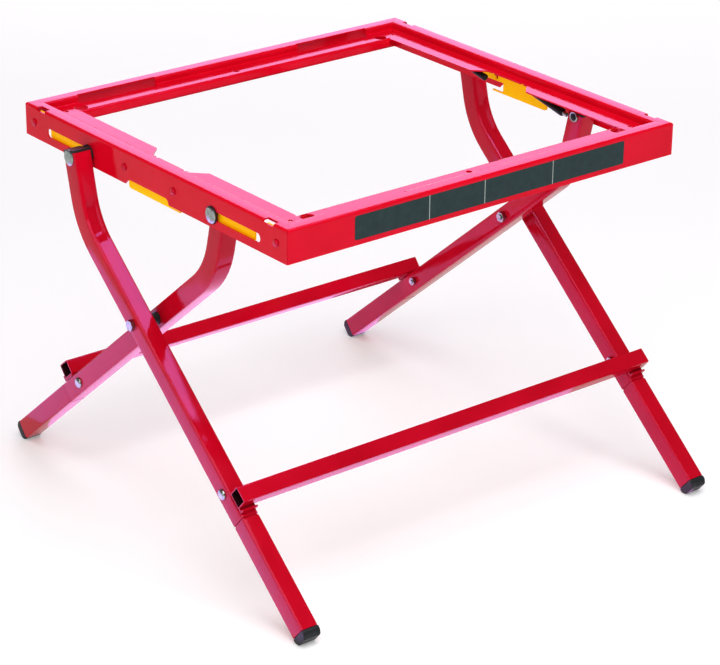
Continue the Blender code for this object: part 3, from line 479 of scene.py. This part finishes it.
def web_rings(side, front, back, low, high):
    """A rounded rectangle in y and z, carried from the inside face to the outside face."""
    flat = rounded_outline(back - front, high - low, WEB_CORNER, WEB_CORNER_POINTS)
    depth = side * np.linspace(WEB_INSIDE, WEB_OUTSIDE, 2)
    rings = np.empty((2,) + flat.shape[:1] + (3,))
    rings[..., 0] = depth[:, None]
    rings[..., 1] = flat[:, 0] + (front + back) / 2
    rings[..., 2] = flat[:, 1] + (low + high) / 2
    return rings


for hand, side in HANDS:
    for where, (front, back, high) in WEB_REACH.items():
        rings = web_rings(side, front, back, WEB_LOW[hand], high)
        ring_stack(f"{hand}_{where}_latch_web", rings, latch_enamel,
                   f"{hand}_latch")
print(f"{len(HANDS) * len(WEB_REACH)} latch webs closed")

# %% [markdown]
# ## Sleeved springs under the side ledges
# Two black sleeved springs hang under each side ledge, next to the latch bar. The front one's thin
# end lies against the ledge, and it slopes down and inwards to the end of the front leg pin, where
# a plated ferrule holds it. The rear one is shorter and slopes down towards the front. A circle is
# carried along a straight line while its radius grows, with rounded shoulders at both ends.

# %% Sleeves and their ferrules
TURN_POINTS, SLEEVE_RINGS, STEEP = 28, 24, 0.9
THIN_SHOULDER, THICK_SHOULDER, END_SHARE = 0.05, 0.04, 0.35
LEDGE_UNDER = rim_height - 0.0117
FRONT_THIN_END = np.array([0.2812, -0.0440, LEDGE_UNDER - 0.0048])
FRONT_THICK_END = np.array([0.2760, -0.1195, rim_height - 0.0256])
REAR_THIN_END = np.array([0.2825, 0.0900, LEDGE_UNDER - 0.0036])
REAR_THICK_END = np.array([0.2825, 0.0470, rim_height - 0.0225])
FRONT_RADII, REAR_RADII = (0.0030, 0.0058), (0.0034, 0.0048)
FERRULE_BITE, FERRULE_REACH = 0.002, 0.0075
FERRULE_ALONG = (0.0, 0.04, 0.40, 0.46, 0.54, 0.60, 0.94, 1.0)
FERRULE_RADIUS = (0.0026, 0.0031, 0.0031, 0.0026, 0.0026, 0.0031, 0.0031, 0.0024)


def circle_round(direction, points=TURN_POINTS):
    """Unit circle square to a direction: cos * first + sin * second, both square to it. First is
    level, unless the direction is STEEP."""
    along = np.asarray(direction, float) / np.linalg.norm(direction)
    helper = np.array([0.0, 0.0, 1.0]) if abs(along[2]) < STEEP else np.array([1.0, 0.0, 0.0])
    first = np.cross(along, helper)
    first /= np.linalg.norm(first)
    second = np.cross(along, first)
    angle = np.linspace(0.0, 2.0 * np.pi, points, endpoint=False)[:, None]
    return np.cos(angle) * first + np.sin(angle) * second


def turned_rings(start, end, along, radius):
    """Rings on the line start to end: ring k sits at the share along[k] with radius[k]."""
    start, end = np.asarray(start, float), np.asarray(end, float)
    centres = start + np.asarray(along)[:, None] * (end - start)
    return centres[:, None, :] + np.asarray(radius)[:, None, None] * circle_round(end - start)


def sleeve_profile(thin, thick):
    """Radius thin to thick along the sleeve, closing in at both ends like a quarter ellipse."""
    along = (1.0 - np.cos(np.linspace(0.0, np.pi, SLEEVE_RINGS))) / 2.0
    shoulder = np.minimum(along / THIN_SHOULDER, (1.0 - along) / THICK_SHOULDER)
    arch = np.sqrt(1.0 - (1.0 - np.clip(shoulder, 0.0, 1.0)) ** 2)
    rounded = END_SHARE + (1.0 - END_SHARE) * arch
    return along, (thin + (thick - thin) * along) * rounded


spring_sleeve = moulded_black("spring_sleeve", (0.004, 0.004, 0.005), (0.012, 0.012, 0.013),
                              (0.3, 0.42), 0.1)
for hand, side in HANDS:
    mirror = np.array([side, 1.0, 1.0])
    thin_end, thick_end = mirror * FRONT_THIN_END, mirror * FRONT_THICK_END
    rings = turned_rings(thin_end, thick_end, *sleeve_profile(*FRONT_RADII))
    ring_stack(f"{hand}_front_sleeve", rings, spring_sleeve, "top_frame")
    way = (thick_end - thin_end) / np.linalg.norm(thick_end - thin_end)
    rings = turned_rings(thick_end - FERRULE_BITE * way, thick_end + FERRULE_REACH * way,
                         FERRULE_ALONG, FERRULE_RADIUS)
    ring_stack(f"{hand}_sleeve_ferrule", rings, bright_zinc, "top_frame")
    rings = turned_rings(mirror * REAR_THIN_END, mirror * REAR_THICK_END,
                         *sleeve_profile(*REAR_RADII))
    ring_stack(f"{hand}_rear_sleeve", rings, spring_sleeve, "top_frame")
print("four sleeves and two ferrules hung under the side ledges")

# %% [markdown]
# ## Push nuts and plugs on the front leg pins
# A thin push nut is pressed on the inner end of each front leg pin, and a black plug closes the
# pin's bore. Both are turned parts, a few radii along the pin's axis: the nut has a rolled rim
# and a shallow dish, and the plug fills the dish with a low dome.

# %% Push nuts and plugs
INNER_LEG_FACE = float(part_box("right_inner_upper_leg")[0].x)
PIN_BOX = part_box("right_inner_pin")
PIN_Y, PIN_Z = (float(v) for v in (PIN_BOX[0] + PIN_BOX[1]).yz / 2)
PIN_END = float(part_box("right_inner_pin_nut")[0].x)
SEAT_GAP, NUT_ROLL, PLUG_RISE = 0.0001, 0.0006, 0.0009
NUT_ALONG = (0.0, 0.25, 0.75, 1.0, 1.0, 0.82)
NUT_RADIUS = (0.0071, 0.0074, 0.0074, 0.0069, 0.0063, 0.0055)
PLUG_ALONG = (0.0, 0.35, 0.65, 0.9, 1.0)
PLUG_RADIUS = (0.0053, 0.0052, 0.0045, 0.0026, 0.0010)
for hand, side in HANDS:
    seat = (side * (INNER_LEG_FACE - SEAT_GAP), PIN_Y, PIN_Z)
    rolled = (side * (PIN_END - NUT_ROLL), PIN_Y, PIN_Z)
    rings = turned_rings(seat, rolled, NUT_ALONG, NUT_RADIUS)
    ring_stack(f"{hand}_push_nut", rings, bright_zinc, "inner_legs")
    bore = (side * PIN_END, PIN_Y, PIN_Z)
    dome = (side * (PIN_END - PLUG_RISE), PIN_Y, PIN_Z)
    rings = turned_rings(bore, dome, PLUG_ALONG, PLUG_RADIUS)
    ring_stack(f"{hand}_pin_plug", rings, spring_sleeve, "inner_legs")
print(f"push nuts on the pins at y = {PIN_Y:.4f} m, z = {PIN_Z:.4f} m, "
      f"pin end at x = {PIN_END:.4f} m")

# %% [markdown]
# ## Weld beads inside the frame's corners
# The rails are mitred and welded from the inside, so each corner has a bead that follows the back
# of the sheet: up the wall, along under the flange, down the step and out under the ledge. A
# small circle is carried along that bent line, and it swells and narrows as a hand-laid bead does.

# %% Corner beads
BEAD_LINE = np.array([(0.0026, -0.0436), (0.0026, -0.0026), (0.0186, -0.0026), (0.0186, -0.0121),
                      (0.0522, -0.0121)])
BEAD_RADIUS, BEAD_PITCH, BEAD_SWELL = 0.0011, 0.0032, 0.18
RAIL_BACK = float(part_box("back_rail")[1].y)
RAIL_SIDE = float(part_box("right_rail")[1].x)


def bead_rings(side_x, side_y, steps=110, around=10):
    """Points spaced evenly along BEAD_LINE, set on the corner's diagonal; each ring's radius is
    BEAD_RADIUS * (1 + BEAD_SWELL * sin(2 pi * length / BEAD_PITCH))."""
    runs = np.linalg.norm(np.diff(BEAD_LINE, axis=0), axis=1)
    lengths = np.concatenate([[0.0], np.cumsum(runs)])
    reach = np.linspace(0.0, lengths[-1], steps)
    inset, height = (np.interp(reach, lengths, BEAD_LINE[:, axis]) for axis in (0, 1))
    centre = np.stack([side_x * (RAIL_SIDE - inset), side_y * (RAIL_BACK - inset),
                       rim_height + height], axis=-1)
    tangent = np.gradient(centre, axis=0)
    tangent /= np.linalg.norm(tangent, axis=1, keepdims=True)
    level = np.array([side_x, -side_y, 0.0]) / math.sqrt(2.0)
    other = np.cross(tangent, level)
    angle = np.linspace(0.0, 2.0 * np.pi, around, endpoint=False)[None, :, None]
    radius = BEAD_RADIUS * (1.0 + BEAD_SWELL * np.sin(2.0 * np.pi * reach / BEAD_PITCH))
    spokes = np.cos(angle) * level + np.sin(angle) * other[:, None, :]
    return centre[:, None, :] + radius[:, None, None] * spokes


for where, side_y in (("front", -1), ("rear", 1)):
    for hand, side_x in HANDS:
        ring_stack(f"{hand}_{where}_corner_bead", bead_rings(side_x, side_y), crimson_enamel,
                   "top_frame")
print("four corner beads laid")

# %% [markdown]
# ## Floor
# A wide pale floor carries the stand. It is one big flat sheet, almost white, and it is lit from
# below as a light table is: a little under the stand and more further out, so that the ground
# stays pale up to the horizon.

# %% Floor
FLOOR_REACH, FLOOR_LEVEL, FLOOR_WAVES = 30.0, -0.0005, 3.0
FLOOR_PALE, FLOOR_PALER = (0.79, 0.79, 0.79), (0.81, 0.81, 0.81)
GLOW_NEAR, GLOW_FAR = 1.0, 5.0
GLOW_LOW, GLOW_HIGH = 0.25, 0.78
floor_mesh = bpy.data.meshes.new("studio_floor")
edge = np.array([-FLOOR_REACH, FLOOR_REACH])
corner_x, corner_y = np.meshgrid(edge, edge, indexing="ij")
corner_z = np.full_like(corner_x, FLOOR_LEVEL)
corners = np.stack([corner_x, corner_y, corner_z], axis=-1).reshape(-1, 3)
floor_mesh.from_pydata(corners.tolist(), [], [[0, 2, 3, 1]])
pale_floor, floor_tree, floor_shader = new_finish("pale_floor")
floor_cloud = noise_over(floor_tree, FLOOR_WAVES, 2.0)
floor_tree.links.new(blend_colours(floor_tree, floor_cloud, FLOOR_PALE, FLOOR_PALER),
                     floor_shader.inputs["Base Color"])
floor_shader.inputs["Roughness"].default_value = 0.7
floor_shader.inputs["Specular IOR Level"].default_value = 0.2
floor_shader.inputs["Emission Color"].default_value = (1.0, 1.0, 1.0, 1.0)
floor_place = floor_tree.nodes.new("ShaderNodeTexCoord")
floor_reach = floor_tree.nodes.new("ShaderNodeVectorMath")
floor_reach.operation = "LENGTH"
floor_glow = floor_tree.nodes.new("ShaderNodeMapRange")
floor_glow.interpolation_type = "SMOOTHSTEP"
floor_glow.inputs["From Min"].default_value = GLOW_NEAR
floor_glow.inputs["From Max"].default_value = GLOW_FAR
floor_glow.inputs["To Min"].default_value = GLOW_LOW
floor_glow.inputs["To Max"].default_value = GLOW_HIGH
floor_tree.links.new(floor_place.outputs["Object"], floor_reach.inputs[0])
floor_tree.links.new(floor_reach.outputs["Value"], floor_glow.inputs["Value"])
floor_tree.links.new(floor_glow.outputs["Result"], floor_shader.inputs["Emission Strength"])
floor_mesh.materials.append(pale_floor)
studio_floor = bpy.data.objects.new("studio_floor", floor_mesh)
bpy.context.scene.collection.objects.link(studio_floor)
studio_floor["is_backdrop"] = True
print(f"floor {2 * FLOOR_REACH:.0f} m across")

# %% [markdown]
# ## Soft studio light
# Glossy paint is mostly a picture of the lights. A big softbox overhead and one at the left do the
# lighting, a third behind the stand fills the far faces, and a dim room light keeps the undersides
# from going black. Four lilac cards stand where the gloss looks: behind the stand for the flat
# tops, high in front for the upper edges, on the floor at the left for the sides of the near legs,
# and under the stand for the far legs and the undersides of the crossbars. A card is seen in
# reflections and lights nothing. Power is brightness times pi times area.

# %% Lights
AIM = (0.0, 0.0, 0.35)
CARD_LIFT = 0.002
ROOM_LIGHT = 0.20


def softbox(name, place, wide, high, brightness, tint=(1.0, 1.0, 1.0), card=False, gloss=True,
            aim=AIM):
    """A rectangular lamp at place, turned to aim; power = brightness * pi * wide * high. A card
    shows in gloss alone and lights nothing; without gloss a lamp lights and doesn't show."""
    lamp = bpy.data.lights.new(name, "AREA")
    lamp.shape = "RECTANGLE"
    lamp.size, lamp.size_y = wide, high
    lamp.energy = brightness * math.pi * wide * high
    lamp.color = tint
    box = bpy.data.objects.new(name, lamp)
    box.location = place
    box.rotation_euler = (Vector(aim) - Vector(place)).to_track_quat("-Z", "Y").to_euler()
    box.visible_camera = False
    box.visible_diffuse = not card
    box.visible_glossy = gloss
    bpy.context.scene.collection.objects.link(box)


def card_on_floor(name, x, y, wide, deep, brightness, tint):
    """A card that lies just above the floor and faces straight up."""
    softbox(name, (x, y, CARD_LIFT), wide, deep, brightness, tint, card=True, aim=(x, y, 1.0))


softbox("overhead_box", (-0.4, -1.3, 2.9), 3.0, 3.0, 3.7)
softbox("back_box", (2.0, 2.6, 1.95), 3.2, 1.7, 1.5, gloss=False)
softbox("left_box", (-3.2, -0.6, 1.3), 2.0, 1.6, 2.2)
softbox("lilac_card", (1.9, 2.4, 1.8), 3.4, 1.7, 4.2, (0.87, 0.49, 1.0), card=True)
softbox("front_card", (0.90, -0.62, 2.30), 0.55, 0.45, 12.0, (0.8, 0.5, 1.0), card=True)
card_on_floor("floor_card", -0.586, 0.25, 0.468, 1.2, 2.2, (0.5, 0.25, 1.0))
card_on_floor("under_card", 0.03, 0.175, 0.6, 1.15, 1.5, (0.75, 0.22, 0.85))
room = bpy.data.worlds.new("studio_room")
room.use_nodes = True
room_glow = room.node_tree.nodes["Background"]
room_glow.inputs["Color"].default_value = (1.0, 1.0, 1.0, 1.0)
room_glow.inputs["Strength"].default_value = ROOM_LIGHT
bpy.context.scene.world = room
bpy.context.scene.view_settings.view_transform = "Standard"
print("three softboxes, four cards and a dim room")

# %% [markdown]
# ## Camera
# The camera stands to the left of the front, a little above the frame, far away with a long lens,
# as for a catalogue. Its place is given by a turn about the stand, a height angle, a distance and
# a small roll, and the lens by its focal length in pixels of a picture 720 wide.

# %% Camera
PICTURE_WIDTH = 720.0
FOCAL_PIXELS = 2683.5
SENSOR_WIDTH, FAR_LIMIT = 36.0, 100.0
TURN, HEIGHT_ANGLE, ROLL = map(math.radians, (-38.672, 23.959, 0.602))
CAMERA_DISTANCE = 3.6646
LOOK_AT = Vector((0.02565, 0.0, 0.1974))

lens = bpy.data.cameras.new("catalogue_camera")
lens.sensor_width = SENSOR_WIDTH
lens.lens = FOCAL_PIXELS / PICTURE_WIDTH * SENSOR_WIDTH
lens.clip_end = FAR_LIMIT
back = Vector((math.sin(TURN) * math.cos(HEIGHT_ANGLE), -math.cos(TURN) * math.cos(HEIGHT_ANGLE),
               math.sin(HEIGHT_ANGLE)))
level_right = Vector((0.0, 0.0, 1.0)).cross(back).normalized()
level_up = back.cross(level_right)
right = math.cos(ROLL) * level_right + math.sin(ROLL) * level_up
up = math.cos(ROLL) * level_up - math.sin(ROLL) * level_right
camera = bpy.data.objects.new("catalogue_camera", lens)
turned = Matrix((right, up, back)).transposed().to_4x4()
camera.matrix_world = Matrix.Translation(LOOK_AT + back * CAMERA_DISTANCE) @ turned
bpy.context.scene.collection.objects.link(camera)
bpy.context.scene.camera = camera
stands_at = tuple(round(v, 3) for v in camera.matrix_world.translation)
print(f"camera at {stands_at}, lens {lens.lens:.1f} mm")

# %% [markdown]
# ## Sizes and the end
# Small pieces should not reach past the solids, so the growth of the dressed stand's box over the
# solids' box is printed at the end.

# %% Write the sizes and finish
dressed_low, dressed_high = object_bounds()
grown = (dressed_high - dressed_low) - (cad_high - cad_low)
print("grown by (mm):", [round(1000 * v, 2) for v in grown])
